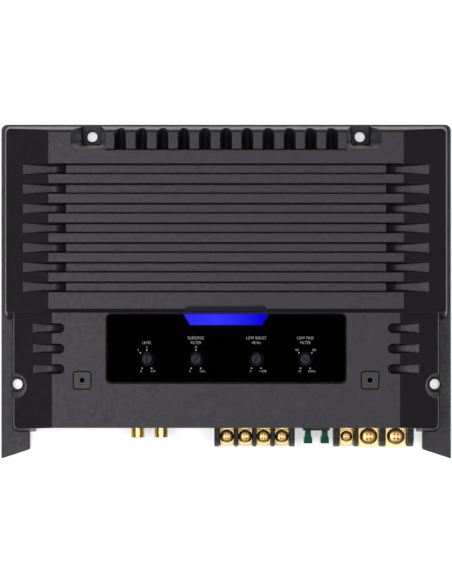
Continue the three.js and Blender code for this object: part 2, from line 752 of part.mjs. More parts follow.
function fuseSocket() {
  const body = box(HOLDER.left, HOLDER.right, HOLDER.face, HOLDER.rear, BOARD.top, HOLDER.top);
  const mouths = FUSE.xs.flatMap((x) => [
    box(
      x - FUSE.neck / 2 - GAP,
      x + FUSE.neck / 2 + GAP,
      HOLDER.face - 1,
      BLADE.start,
      FUSE.z - FUSE.width / 2 - GAP,
      FUSE.z + FUSE.width / 2 + GAP,
    ),
    ...[-1, 1].map((side) =>
      box(
        x - BLADE.thick / 2 - GAP,
        x + BLADE.thick / 2 + GAP,
        BLADE.start - 1,
        BLADE.end + 1,
        FUSE.z + side * BLADE.z - BLADE.width / 2 - GAP,
        FUSE.z + side * BLADE.z + BLADE.width / 2 + GAP,
      ),
    ),
  ]);
  return cut(body, mouths);
}

// A blade fuse seen edge-on: a thick grip, a thinner body, and two flat blades.
function fuse(x) {
  const headRear = FUSE.tip + 3.2;
  const taper = headRear + 1.4;
  const rear = BLADE.start - GAP;
  const [h, n] = [FUSE.head / 2, FUSE.neck / 2];
  const outline = shapeOf([
    [x - h, FUSE.tip],
    [x + h, FUSE.tip],
    [x + h, headRear],
    [x + n, taper],
    [x + n, rear],
    [x - n, rear],
    [x - n, taper],
    [x - h, headRear],
  ]);
  const body = plan(outline, FUSE.z - FUSE.width / 2, FUSE.z + FUSE.width / 2);
  const blades = [-1, 1].map((side) =>
    box(
      x - BLADE.thick / 2,
      x + BLADE.thick / 2,
      rear - 1,
      BLADE.end,
      FUSE.z + side * BLADE.z - BLADE.width / 2,
      FUSE.z + side * BLADE.z + BLADE.width / 2,
    ),
  );
  return join([body, ...blades]);
}

// ---------------------------------------------------------------- electronics

function mainBoard() {
  const { half, front, rear, bottom, top } = BOARD;
  return cut(box(-half, half, front, rear, bottom, top), [
    ...POSTS.map(([x, y]) => upright(x, y, bottom - 1, top + 1, 1.8, 1.8, 16)),
    ...CELLS.map(({ x }) => box(x - 2.4, x + 2.4, TAB.rear - 1.6, front + 1, bottom - 1, top + 1)),
  ]);
}

const TRANSFORMER = { x: 72, y: 15, outer: 24, inner: 11, height: 24 };
const INDUCTOR = { x: 10, y: -35, outer: 17, inner: 8, height: 17 };
const CAPACITOR = { y: 20, r: 11, height: 28 };

// A wound ring core with rounded edges.
function toroid({ x, y, outer, inner, height }) {
  const round = 2;
  const base = BOARD.top + 0.1;
  const profile = [
    [inner + round, 0],
    [outer - round, 0],
    [outer, round],
    [outer, height - round],
    [outer - round, height],
    [inner + round, height],
    [inner, height - round],
    [inner, round],
    [inner + round, 0],
  ];
  const ring = new THREE.LatheGeometry(
    profile.map(([r, z]) => new THREE.Vector2(r, z)),
    20,
  );
  return solid(ring.rotateX(Math.PI / 2).translate(x, y, base));
}

function capacitor(x) {
  const base = BOARD.top + 0.1;
  return upright(x, CAPACITOR.y, base, base + CAPACITOR.height, CAPACITOR.r, CAPACITOR.r, 20);
}

const TRANSISTOR = { y: 65.7, thick: 4.5, tab: 1.3, bottom: 16, bodyTop: 25, top: 32 };

// A power transistor stood on its legs, with its metal tab against the casting's rib.
function transistor(x) {
  const { y, thick, tab, bottom, bodyTop, top } = TRANSISTOR;
  const legs = [-2.54, 0, 2.54].map((dx) =>
    box(x + dx - 0.45, x + dx + 0.45, y - 2.9, y - 2.3, BOARD.top + 0.1, bottom + 1),
  );
  return join([
    box(x - 5, x + 5, y - thick, y - 0.3, bottom, bodyTop),
    box(x - 5, x + 5, y - tab, y, bottom, top),
    ...legs,
  ]).subtract(lying(x, top - 3, y - 5, y + 1, 1.8, 1.8, 16));
}

// One folded steel bar that presses every transistor against the rib.
function transistorClamp() {
  const front = TRANSISTOR.y - TRANSISTOR.thick - 0.1;
  const section = [
    [front, 18],
    [front, 23],
    [front - 5, 23],
    [front - 5, 21.8],
    [front - 1.2, 21.8],
    [front - 1.2, 18],
  ];
  return alongX(section, -58, 58);
}

// ---------------------------------------------------------------- assembly

const amplifier = new THREE.Group();

function add(name, body, finish) {
  const mesh = new THREE.Mesh(geometryOf(body), finish);
  mesh.name = name;
  amplifier.add(mesh);
}

add("heatsink_chassis", chassis(), MATERIALS.casting);
add("bottom_plate", bottomPlate(), MATERIALS.blackSteel);
POSTS.forEach((post, i) => add(`bottom_screw_${i + 1}`, bottomScrew(post), MATERIALS.steel));
add("end_plate", endPlate(), MATERIALS.blackSteel);

add("control_panel", controlPanel(), MATERIALS.gloss);
add("light_window", lightWindow(), MATERIALS.light);
add("cover_insert_left", coverInsert(-1), MATERIALS.steel);
add("cover_insert_right", coverInsert(1), MATERIALS.steel);
add("control_board", controlBoard(), MATERIALS.board);
TRIMMERS.forEach((trimmer) => {
  add(`${trimmer.name}_control`, potBody(trimmer), MATERIALS.plastic);
  add(`${trimmer.name}_shaft`, trimmerShaft(trimmer), MATERIALS.trimmer);
});

add("rca_housing", rcaHousing(), MATERIALS.plastic);
RCA.xs.forEach((x, i) => add(`rca_shell_${i + 1}`, rcaShell(x), MATERIALS.gold));
add("rca_screw", rcaScrew(), MATERIALS.blackSteel);

add("speaker_block", terminalBlock(SPEAKER, CELLS.slice(0, 4)), MATERIALS.plastic);
add("power_block", terminalBlock(POWER, CELLS.slice(4)), MATERIALS.plastic);
CELLS.forEach((cell) => {
  add(`${cell.id}_tab`, terminalTab(cell), MATERIALS.gold);
  add(`${cell.id}_washer`, clampWasher(cell), MATERIALS.gold);
  add(`${cell.id}_screw`, clampScrew(cell), MATERIALS.gold);
});

add("fuse_socket", fuseSocket(), MATERIALS.plastic);
FUSE.xs.forEach((x, i) => add(`fuse_${i + 1}`, fuse(x), MATERIALS.fuseGreen));

add("main_board", mainBoard(), MATERIALS.board);
add("power_transformer", toroid(TRANSFORMER), MATERIALS.ferrite);
add("output_inductor", toroid(INDUCTOR), MATERIALS.ferrite);
[30, -30].forEach((x, i) => add(`filter_capacitor_${i + 1}`, capacitor(x), MATERIALS.sleeve));
[-45, -15, 15, 45].forEach((x, i) => add(`power_transistor_${i + 1}`, transistor(x), MATERIALS.sleeve));
add("transistor_clamp", transistorClamp(), MATERIALS.steel);

export default amplifier;
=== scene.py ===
"""The looks of a single-channel car audio amplifier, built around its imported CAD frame.

The casting and most other parts are copies of their CAD solids with the edges rounded. Screws,
sockets, fuses, trimmers and the gloss panel are built here in finer detail, over the same places
and sizes. Units are metres.
"""

import json
import math

import bmesh
import bpy
from mathutils import Matrix, Vector

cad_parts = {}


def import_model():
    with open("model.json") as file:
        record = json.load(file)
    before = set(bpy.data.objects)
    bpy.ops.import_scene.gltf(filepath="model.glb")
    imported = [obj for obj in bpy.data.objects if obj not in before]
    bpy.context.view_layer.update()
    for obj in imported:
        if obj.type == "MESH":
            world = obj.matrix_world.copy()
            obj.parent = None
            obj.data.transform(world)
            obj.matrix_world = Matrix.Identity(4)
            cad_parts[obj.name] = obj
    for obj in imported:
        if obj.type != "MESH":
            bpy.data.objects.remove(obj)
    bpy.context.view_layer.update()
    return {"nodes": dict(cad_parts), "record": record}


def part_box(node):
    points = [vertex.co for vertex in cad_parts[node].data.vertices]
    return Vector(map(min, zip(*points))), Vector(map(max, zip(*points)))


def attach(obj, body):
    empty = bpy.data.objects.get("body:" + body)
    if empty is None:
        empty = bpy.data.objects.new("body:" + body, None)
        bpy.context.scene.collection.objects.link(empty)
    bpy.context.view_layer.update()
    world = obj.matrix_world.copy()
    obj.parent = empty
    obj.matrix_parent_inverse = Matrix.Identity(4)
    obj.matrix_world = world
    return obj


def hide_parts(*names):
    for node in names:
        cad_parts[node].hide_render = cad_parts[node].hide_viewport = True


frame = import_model()
nodes = frame["nodes"]

MM = 0.001
ROOT = "amplifier"
NOISE_LOW, NOISE_HIGH = 0.3, 0.7  # the part of the noise's range that a material's variation uses
scene = bpy.context.scene

# ---------------------------------------------------------------- materials


class Shader:
    """A material's node tree, with short calls for what these materials use."""

    def __init__(self, name, color, roughness, metallic=0.0, **inputs):
        self.material = bpy.data.materials.new(name)
        self.material.use_nodes = True
        self.tree = self.material.node_tree
        self.bsdf = self.tree.nodes["Principled BSDF"]
        self.set("Base Color", (*color, 1.0))
        self.set("Roughness", roughness)
        self.set("Metallic", metallic)
        for key, value in inputs.items():
            self.set(key.replace("_", " "), value)

    def set(self, socket, value):
        self.bsdf.inputs[socket].default_value = value

    def node(self, kind, **values):
        made = self.tree.nodes.new(kind)
        for key, value in values.items():
            made.inputs[key].default_value = value
        return made

    def link(self, output, target):
        self.tree.links.new(output, target)

    def noise(self, scale, detail=2.0, roughness=0.5):
        """Noise over the piece's own coordinates, with features about 1 / scale metres across."""
        place = self.node("ShaderNodeTexCoord")
        made = self.node("ShaderNodeTexNoise", Scale=scale, Detail=detail, Roughness=roughness)
        self.link(place.outputs["Object"], made.inputs["Vector"])
        return made.outputs["Fac"]

    def spread(self, factor, socket, low, high):
        """Drives a number socket between low and high by a noise factor."""
        made = self.node("ShaderNodeMapRange")
        made.inputs["From Min"].default_value = NOISE_LOW
        made.inputs["From Max"].default_value = NOISE_HIGH
        made.inputs["To Min"].default_value = low
        made.inputs["To Max"].default_value = high
        self.link(factor, made.inputs["Value"])
        self.link(made.outputs["Result"], self.bsdf.inputs[socket])

    def tint(self, factor, dark, light):
        """Drives the base colour between two colours by a noise factor."""
        ramp = self.node("ShaderNodeValToRGB")
        low, high = ramp.color_ramp.elements
        low.position = NOISE_LOW
        high.position = NOISE_HIGH
        low.color = (*dark, 1.0)
        high.color = (*light, 1.0)
        self.link(factor, ramp.inputs["Fac"])
        self.link(ramp.outputs["Color"], self.bsdf.inputs["Base Color"])

    def bump(self, factor, height, strength):
        made = self.node("ShaderNodeBump", Strength=strength, Distance=height)
        self.link(factor, made.inputs["Height"])
        self.link(made.outputs["Normal"], self.bsdf.inputs["Normal"])


def powder_coat():
    shader = Shader("powder_coat", (0.012, 0.011, 0.013), 0.45, Specular_IOR_Level=0.38)
    shader.set("Specular Tint", (0.93, 0.90, 1.0, 1.0))
    shader.tint(shader.noise(900, 3), (0.009, 0.0075, 0.0092), (0.015, 0.0128, 0.0155))
    shader.spread(shader.noise(400, 2), "Roughness", 0.40, 0.50)
    shader.bump(shader.noise(2600, 2, 0.6), 0.00006, 0.5)
    return shader.material


def coated_steel():
    shader = Shader("coated_steel", (0.016, 0.016, 0.017), 0.42, Specular_IOR_Level=0.36)
    shader.tint(shader.noise(700), (0.013, 0.013, 0.014), (0.020, 0.020, 0.021))
    shader.bump(shader.noise(4000), 0.00002, 0.4)
    return shader.material


def acrylic():
    shader = Shader("gloss_acrylic", (0.0003, 0.0003, 0.0004), 0.06, Specular_IOR_Level=0.06)
    shader.spread(shader.noise(60), "Roughness", 0.05, 0.08)
    return shader.material


def light_guide():
    """Blue plastic lit from behind, brighter towards its left half."""
    shader = Shader("light_guide", (0.0005, 0.0005, 0.05), 0.12, Specular_IOR_Level=0.1)
    shader.set("Emission Strength", 1.0)
    place = shader.node("ShaderNodeTexCoord")
    split = shader.node("ShaderNodeSeparateXYZ")
    ramp = shader.node("ShaderNodeValToRGB")
    low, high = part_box("light_window")
    half = (high.x - low.x) / 2
    across = shader.node("ShaderNodeMapRange")
    across.inputs["From Min"].default_value = -half
    across.inputs["From Max"].default_value = half
    elements = ramp.color_ramp.elements
    elements[0].color = (0.020, 0.020, 0.85, 1.0)
    elements[1].color = (0.0, 0.0, 0.66, 1.0)
    elements[1].position = 0.92
    middle = elements.new(0.38)
    middle.color = (0.032, 0.032, 0.96, 1.0)
    shader.link(place.outputs["Object"], split.inputs["Vector"])
    shader.link(split.outputs["X"], across.inputs["Value"])
    shader.link(across.outputs["Result"], ramp.inputs["Fac"])
    shader.link(ramp.outputs["Color"], shader.bsdf.inputs["Emission Color"])
    return shader.material


def moulded_plastic():
    shader = Shader("moulded_plastic", (0.012, 0.012, 0.013), 0.42, Specular_IOR_Level=0.2)
    shader.tint(shader.noise(500), (0.009, 0.009, 0.010), (0.016, 0.016, 0.017))
    shader.bump(shader.noise(3000), 0.00002, 0.35)
    return shader.material


def gold_plate():
    shader = Shader("gold_plate", (0.84, 0.56, 0.22), 0.35, 1.0)
    shader.tint(shader.noise(300), (0.78, 0.50, 0.19), (0.90, 0.62, 0.28))
    shader.spread(shader.noise(800), "Roughness", 0.30, 0.42)
    return shader.material


def zinc_plate():
    shader = Shader("zinc_plate", (0.55, 0.55, 0.57), 0.35, 1.0)
    shader.spread(shader.noise(600), "Roughness", 0.28, 0.45)
    return shader.material


def dull_steel():
    """The oiled thread inside an insert."""
    shader = Shader("dull_steel", (0.10, 0.10, 0.11), 0.5, 1.0)
    shader.spread(shader.noise(900), "Roughness", 0.45, 0.6)
    return shader.material


def fuse_plastic():
    shader = Shader("fuse_plastic", (0.003, 0.125, 0.058), 0.12, Transmission_Weight=0.45, IOR=1.5)
    shader.spread(shader.noise(300), "Roughness", 0.08, 0.16)
    return shader.material


def solder_mask():
    shader = Shader("solder_mask", (0.012, 0.10, 0.04), 0.3)
    shader.tint(shader.noise(250), (0.010, 0.085, 0.034), (0.016, 0.12, 0.05))
    return shader.material


def trimmer_plastic():
    shader = Shader("trimmer_plastic", (0.008, 0.007, 0.016), 0.5, Specular_IOR_Level=0.24)
    shader.set("Specular Tint", (0.90, 0.84, 1.0, 1.0))
    shader.tint(shader.noise(900), (0.006, 0.005, 0.013), (0.010, 0.009, 0.019))
    return shader.material


def copper_winding():
    shader = Shader("copper_winding", (0.45, 0.16, 0.05), 0.3, 0.6)
    shader.tint(shader.noise(500), (0.35, 0.11, 0.03), (0.50, 0.20, 0.07))
    return shader.material


def component_sleeve():
    shader = Shader("component_sleeve", (0.010, 0.010, 0.014), 0.35)
    shader.tint(shader.noise(400), (0.008, 0.008, 0.011), (0.013, 0.013, 0.018))
    return shader.material


def ink():
    shader = Shader("white_ink", (0.56, 0.56, 0.56), 0.6)
    shader.tint(shader.noise(2000), (0.50, 0.50, 0.50), (0.62, 0.62, 0.62))
    return shader.material


def insulator(name, color):
    shader = Shader(name, color, 0.35)
    shader.spread(shader.noise(700), "Roughness", 0.3, 0.42)
    return shader.material


MATERIALS = {
    "casting": powder_coat(),
    "black_steel": coated_steel(),
    "gloss_panel": acrylic(),
    "light": light_guide(),
    "plastic": moulded_plastic(),
    "gold": gold_plate(),
    "steel": zinc_plate(),
    "fuse_green": fuse_plastic(),
    "board": solder_mask(),
    "trimmer": trimmer_plastic(),
    "ferrite": copper_winding(),
    "sleeve": component_sleeve(),
}
INK = ink()
THREAD = dull_steel()
SOCKET_WHITE = insulator("socket_white", (0.62, 0.61, 0.58))
SOCKET_RED = insulator("socket_red", (0.45, 0.012, 0.010))

# ---------------------------------------------------------------- mesh tools

SLOT_OF = {part["node"]: part["material_slot"] for part in frame["record"]["subparts"]}
BODY_OF = {
    node: body for body, names in frame["record"]["behaviour"]["bodies"].items() for node in names
}


def shade(mesh):
    """Smooth shading that keeps corners sharp."""
    mesh.shade_smooth()
    mesh.set_sharp_from_angle(angle=math.radians(35))


def weigh_normals(obj):
    modifier = obj.modifiers.new("weighted_normals", "WEIGHTED_NORMAL")
    modifier.keep_sharp = True
    modifier.weight = 50


def finished(name, bm, material, body=ROOT, replaced=None):
    """A mesh piece from a bmesh, in its material, riding on its body."""
    mesh = bpy.data.meshes.new(name)
    bmesh.ops.recalc_face_normals(bm, faces=bm.faces)
    bm.to_mesh(mesh)
    bm.free()
    shade(mesh)
    mesh.materials.append(material)
    obj = bpy.data.objects.new(name, mesh)
    scene.collection.objects.link(obj)
    weigh_normals(obj)
    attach(obj, body)
    if replaced:
        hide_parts(replaced)


def standing_in(node, name, bm):
    """A piece that takes the place, body and material slot of one CAD node."""
    slot = SLOT_OF[node]
    finished(name, bm, MATERIALS[slot], BODY_OF[node], node)


def round_edges(bm, width, segments, angle=30, wanted=None):
    """Rounds every edge sharper than the angle, or those of them that are wanted."""
    edges = [
        edge
        for edge in bm.edges
        if len(edge.link_faces) == 2
        and edge.calc_face_angle(0) > math.radians(angle)
        and (wanted is None or wanted(edge))
    ]
    bmesh.ops.bevel(
        bm,
        geom=edges,
        offset=width,
        offset_type="OFFSET",
        segments=segments,
        profile=0.5,
        affect="EDGES",
        clamp_overlap=False,
        loop_slide=True,
        miter_outer="ARC",
    )


def clean_solid(node, cuts=()):
    """A CAD solid as large flat faces. Faces with holes are parted along the cut planes."""
    bm = bmesh.new()
    bm.from_mesh(nodes[node].data)
    bmesh.ops.remove_doubles(bm, verts=bm.verts, dist=0.01 * MM)
    for axis, at in cuts:
        normal = Vector([float(axis == name) for name in "xyz"])
        everything = bm.verts[:] + bm.edges[:] + bm.faces[:]
        made = bmesh.ops.bisect_plane(
            bm, geom=everything, dist=1e-7, plane_co=normal * at, plane_no=normal
        )
        for piece in made["geom_cut"]:
            if isinstance(piece, bmesh.types.BMEdge):
                piece.seam = True
    bmesh.ops.dissolve_limit(
        bm,
        angle_limit=math.radians(0.4),
        verts=bm.verts[:],
        edges=bm.edges[:],
        delimit={"SEAM"},
    )
    return bm


def rounded(node, name, width, segments=2):
    """A copy of a CAD solid with its edges rounded, shown in its place."""
    bm = clean_solid(node)
    round_edges(bm, width, segments)
    standing_in(node, name, bm)


def lathe(profile, segments=48, matrix=None):
    """A closed solid turned about its Z axis from a profile of (radius, height) points.

    A profile that starts or ends away from the axis is closed on itself."""
    bm = bmesh.new()
    rings = []
    for radius, height in profile:
        if radius < 1e-9:
            rings.append([bm.verts.new((0, 0, height))])
            continue
        turns = [2 * math.pi * i / segments for i in range(segments)]
        rings.append([bm.verts.new((radius * math.cos(t), radius * math.sin(t), height)) for t in turns])
    pairs = list(zip(rings, rings[1:]))
    if len(rings[0]) > 1 and len(rings[-1]) > 1:
        pairs.append((rings[-1], rings[0]))
    for low, high in pairs:
        for i in range(segments):
            j = (i + 1) % segments
            corners = [low[i % len(low)], low[j % len(low)], high[j % len(high)], high[i % len(high)]]
            unique = list(dict.fromkeys(corners))
            if len(unique) > 2:
                bm.faces.new(unique)
    bmesh.ops.recalc_face_normals(bm, faces=bm.faces)
    if matrix:
        bmesh.ops.transform(bm, matrix=matrix, verts=bm.verts)
    return bm


def absorb(bm, other):
    """Adds another bmesh to this one."""
    mesh = bpy.data.meshes.new("absorbed")
    other.to_mesh(mesh)
    other.free()
    bm.from_mesh(mesh)
    bpy.data.meshes.remove(mesh)


def block(low, high):
    """A box between two corners."""
    bm = bmesh.new()
    size = Vector(high) - Vector(low)
    middle = (Vector(high) + Vector(low)) / 2
    matrix = Matrix.Translation(middle) @ Matrix.Diagonal((*size, 1))
    bmesh.ops.create_cube(bm, size=1, matrix=matrix)
    return bm


def as_object(bm):
    """A passing object for the boolean modifiers."""
    mesh = bpy.data.meshes.new("cutter")
    bm.to_mesh(mesh)
    bm.free()
    obj = bpy.data.objects.new("cutter", mesh)
    scene.collection.objects.link(obj)
    return obj


def cut_away(bm, others):
    """The solid with the others cut from it."""
    base = as_object(bm)
    tools = [as_object(other) for other in others]
    for tool in tools:
        modifier = base.modifiers.new("cut", "BOOLEAN")
        modifier.operation = "DIFFERENCE"
        modifier.solver = "EXACT"
        modifier.object = tool
    graph = bpy.context.evaluated_depsgraph_get()
    result = bmesh.new()
    result.from_object(base, graph)
    for obj in [base, *tools]:
        mesh = obj.data
        bpy.data.objects.remove(obj)
        bpy.data.meshes.remove(mesh)
    bmesh.ops.remove_doubles(result, verts=result.verts, dist=0.0005 * MM)
    return result


def centre_of(node):
    low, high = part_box(node)
    return (low + high) / 2


def arc(cx, cy, radius, start, end, steps):
    """Points along a circular arc, angles in degrees."""
    turns = [math.radians(start + (end - start) * i / steps) for i in range(steps + 1)]
    return [(cx + radius * math.cos(t), cy + radius * math.sin(t)) for t in turns]


def slab(outline, z0, z1):
    """An upright prism over a plan outline."""
    bm = bmesh.new()
    face = bm.faces.new([bm.verts.new((x, y, z0)) for x, y in outline])
    made = bmesh.ops.extrude_face_region(bm, geom=[face])
    raised = [v for v in made["geom"] if isinstance(v, bmesh.types.BMVert)]
    bmesh.ops.translate(bm, verts=raised, vec=(0, 0, z1 - z0))
    bmesh.ops.recalc_face_normals(bm, faces=bm.faces)
    return bm


def lying_along_y(x, y, z):
    """Turns a lathe's axis to -Y, with its zero height at the point."""
    return Matrix.Translation((x, y, z)) @ Matrix.Rotation(math.radians(90), 4, "X")


# ---------------------------------------------------------------- casting

OPENINGS = {opening["name"]: opening["box_m"] for opening in frame["record"]["physics"]["openings"]}


def mount_hole(name):
    """The middle of a mounting hole, from the space that the record keeps for its screw."""
    low, high = OPENINGS[f"mount_hole_{name}"]
    return (Vector(low) + Vector(high)) / 2


REAR_HOLE = mount_hole("rear_right")
SIDE_HOLE = mount_hole("side_right")
INSERT = centre_of("cover_insert_right")
CAST_RADIUS = 0.32 * MM
MIDDLE_SLOT = -33.7 * MM  # the middle one of the three slots beside the panel, in Y
CREASE = math.radians(36)  # edges that bend less than this and run across aren't rounded


def at_mount_hole(edge):
    """Whether an edge belongs to a mounting hole or its countersink."""
    reach = 3.8 * MM  # just past the countersink's rim
    holes = [(side * hole.x, hole.y) for hole in (REAR_HOLE, SIDE_HOLE) for side in (-1, 1)]
    return any(
        all(math.hypot(vert.co.x - x, vert.co.y - y) < reach for vert in edge.verts) for x, y in holes
    )


def shallow_crease(edge):
    """Whether an edge is a slight bend across the casting, as under the plateau's front edge."""
    along = edge.verts[1].co - edge.verts[0].co
    return edge.calc_face_angle(0) < CREASE and abs(along.x) > 0.99 * along.length


def rounds(edge):
    """Whether an edge of the casting is rounded to its usual radius."""
    return not at_mount_hole(edge) and not shallow_crease(edge)


def casting():
    """The chassis, with its outside edges rounded as a casting's are."""
    node = "heatsink_chassis"
    cuts = [("y", at) for at in (SIDE_HOLE.y, REAR_HOLE.y, INSERT.y, MIDDLE_SLOT)]
    cuts += [("x", side * at) for side in (-1, 1) for at in (REAR_HOLE.x, INSERT.x, SIDE_HOLE.x)]
    bm = clean_solid(node, [("x", 0.0), *cuts])
    round_edges(bm, CAST_RADIUS, 3, wanted=rounds)
    round_edges(bm, 0.2 * MM, 2, wanted=at_mount_hole)
    standing_in(node, "casting", bm)


casting()

# ---------------------------------------------------------------- plates, blocks and boards

rounded("bottom_plate", "base_plate", 0.2 * MM)
rounded("end_plate", "front_plate", 0.15 * MM)
rounded("control_board", "control_circuit_board", 0.1 * MM)
rounded("main_board", "main_circuit_board", 0.1 * MM)
rounded("rca_housing", "socket_housing", 0.3 * MM)
rounded("speaker_block", "speaker_terminal_block", 0.3 * MM)
rounded("power_block", "power_terminal_block", 0.3 * MM)
rounded("fuse_socket", "fuse_holder", 0.3 * MM)
rounded("transistor_clamp", "clamp_bar", 0.2 * MM)
for side in ("left", "right"):
    rounded(f"cover_insert_{side}", f"threaded_insert_{side}", 0.25 * MM)
for node in ("power_transformer", "output_inductor", "filter_capacitor_1", "filter_capacitor_2"):
    rounded(node, f"{node}_body", 0.6 * MM, 3)
for node in nodes:
    if node.startswith("power_transistor"):
        rounded(node, f"{node}_package", 0.2 * MM)
    if node.endswith("_control"):
        rounded(node, f"{node}_body", 0.25 * MM)
    if node.endswith(("_tab", "_washer")):
        rounded(node, f"{node}_plate", 0.14 * MM)

# ---------------------------------------------------------------- screws

TERMINALS = [node.removesuffix("_washer") for node in nodes if node.endswith("_washer")]
CLEAR = 0.1 * MM  # between a screw's head and what it clamps


def cross_recess(arm, half_width, top, depth):
    """Two tapering wedges that cut a cross recess into a head whose top is at that height."""
    wedges = []
    for turn in (45, 135):
        wedge = block((-arm, -half_width, top - depth), (arm, half_width, top + depth))
        for vert in wedge.verts:
            if vert.co.z < top:
                vert.co.x *= 0.3
                vert.co.y *= 0.4
        bmesh.ops.transform(wedge, matrix=Matrix.Rotation(math.radians(turn), 4, "Z"), verts=wedge.verts)
        wedges.append(wedge)
    return wedges


def domed_screw(node, head, height, shank, length, place):
    """A turned screw with a domed, cross-recessed head. Its seat is at zero height until placed."""
    rim = 0.35 * height
    dome = arc(0, 0, 1, 0, 90, 9)
    tip = 0.4 * shank
    profile = [
        (0, -length),
        (shank - tip, -length),
        (shank, tip - length),
        (shank, 0),
        (0.96 * head, 0),
        (head, 0.12 * height),
        *[(head * across, rim + (height - rim) * up) for across, up in dome],
    ]
    cutters = cross_recess(0.72 * head, 0.19 * head, height, 0.8 * height)
    bm = cut_away(lathe(profile, 48), cutters)
    bmesh.ops.transform(bm, matrix=place, verts=bm.verts)
    standing_in(node, f"{node}_turned", bm)


def terminal_screws():
    """The clamp screws of both terminal blocks."""
    for terminal in TERMINALS:
        node = f"{terminal}_screw"
        low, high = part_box(node)
        head = (high.x - low.x) / 2
        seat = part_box(f"{terminal}_washer")[1].z + CLEAR
        place = Matrix.Translation((centre_of(node).x, centre_of(node).y, seat))
        domed_screw(node, head, high.z - seat, 0.48 * head, seat - low.z, place)


def socket_screw():
    """The screw between the phono sockets, with its head to the front."""
    low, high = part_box("rca_screw")
    centre = centre_of("rca_screw")
    height = 2.4 * MM
    place = lying_along_y(centre.x, low.y + height, centre.z)
    domed_screw("rca_screw", (high.x - low.x) / 2, height, 1.25 * MM, high.y - low.y - height, place)


def base_screws():
    """The base's screws, with their heads downwards."""
    for number in range(1, 5):
        node = f"bottom_screw_{number}"
        low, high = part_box(node)
        centre = centre_of(node)
        height = 1.0 * MM
        place = Matrix.Translation((centre.x, centre.y, low.z + height)) @ Matrix.Rotation(math.pi, 4, "X")
        domed_screw(node, (high.x - low.x) / 2, height, 1.3 * MM, high.z - low.z - height, place)


terminal_screws()
socket_screw()
base_screws()

# ---------------------------------------------------------------- phono sockets

SOCKETS = {"rca_shell_1": SOCKET_WHITE, "rca_shell_2": SOCKET_RED}


def phono_socket(node, colour):
    """A gold shell with a rolled lip, round a coloured insulator and a centre contact."""
    low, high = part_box(node)
    centre = centre_of(node)
    length = high.y - low.y
    radius = (high.x - low.x) / 2
    bore = radius - 0.55 * MM
    place = lying_along_y(centre.x, high.y, centre.z)
    lip = 0.25 * MM
    shell = [
        (bore, 0),
        (radius, 0),
        (radius, length - 1.5 * MM),
        (radius - 0.15 * MM, length - 1.35 * MM),
        (radius - 0.15 * MM, length - 1.15 * MM),
        (radius, length - 1.0 * MM),
        *arc(radius - lip, length - lip, lip, 0, 90, 5),
        (bore + 0.1 * MM, length),
        (bore, length - 0.15 * MM),
    ]
    standing_in(node, f"{node}_turned", lathe(shell, 64, place))
    mouth = 1.8 * MM
    core = 2.92 * MM  # the housing's own core is inside this
    face = length - 0.3 * MM
    insulator_ring = [
        (core, 2 * MM),
        (bore - 0.1 * MM, 2 * MM),
        *arc(bore - 0.4 * MM, face - 0.3 * MM, 0.3 * MM, 0, 90, 4),
        (mouth + 0.2 * MM, face),
        (mouth, face - 0.2 * MM),
        (mouth, length - 0.78 * MM),
        (core, length - 0.78 * MM),
    ]
    finished(f"{node}_insulator", lathe(insulator_ring, 48, place), colour)
    contact = [
        (1.2 * MM, 1 * MM),
        (1.6 * MM, 1 * MM),
        (1.6 * MM, length - 1.2 * MM),
        (1.35 * MM, length - 1.0 * MM),
        (1.2 * MM, length - 1.1 * MM),
    ]
    finished(f"{node}_contact", lathe(contact, 32, place), MATERIALS["gold"])


for node, colour in SOCKETS.items():
    phono_socket(node, colour)

# ---------------------------------------------------------------- fuses


def fuse(node):
    """A blade fuse: a waisted, grooved plastic body with two flat metal blades."""
    low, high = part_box(node)
    centre = centre_of(node)
    head = (high.x - low.x) / 2
    neck = 0.7 * head
    shoulder = low.y + 3.2 * MM
    waist = shoulder + 1.4 * MM
    rear = low.y + 10.7 * MM
    outline = [
        (centre.x - head, low.y),
        (centre.x + head, low.y),
        (centre.x + head, shoulder),
        (centre.x + neck, waist),
        (centre.x + neck, rear),
        (centre.x - neck, rear),
        (centre.x - neck, waist),
        (centre.x - head, shoulder),
    ]
    body = slab(outline, low.z, high.z)
    round_edges(body, 0.35 * MM, 3, angle=20)
    depth = 0.7 * MM
    grooves = [
        block((x - 0.18 * MM, low.y + 0.9 * MM, z - depth), (x + 0.18 * MM, rear - 0.8 * MM, z + depth))
        for x in (centre.x - 0.45 * head, centre.x + 0.45 * head)
        for z in (low.z, high.z)
    ]
    standing_in(node, f"{node}_plastic", cut_away(body, grooves))
    half = Vector((0.35, 0, 2.6)) * MM
    for number, side in enumerate((-1, 1), 1):
        middle = Vector((centre.x, 0, centre.z + side * 5.4 * MM))
        blade = block(
            middle - half + Vector((0, rear - 0.8 * MM, 0)),
            middle + half + Vector((0, high.y, 0)),
        )
        round_edges(blade, 0.12 * MM, 2)
        finished(f"{node}_contact_{number}", blade, MATERIALS["steel"], BODY_OF[node])


fuse("fuse_1")
fuse("fuse_2")

# ---------------------------------------------------------------- control deck

rounded("control_panel", "gloss_panel", 0.25 * MM, 3)
rounded("light_window", "light_guide", 0.15 * MM)
PANEL_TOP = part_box("control_panel")[1].z
INK_HEIGHT = 0.02 * MM
SLOT_TURN = {"level": 0, "low_cut": 30, "boost": 28, "low_pass": -46}  # degrees clockwise from the rear


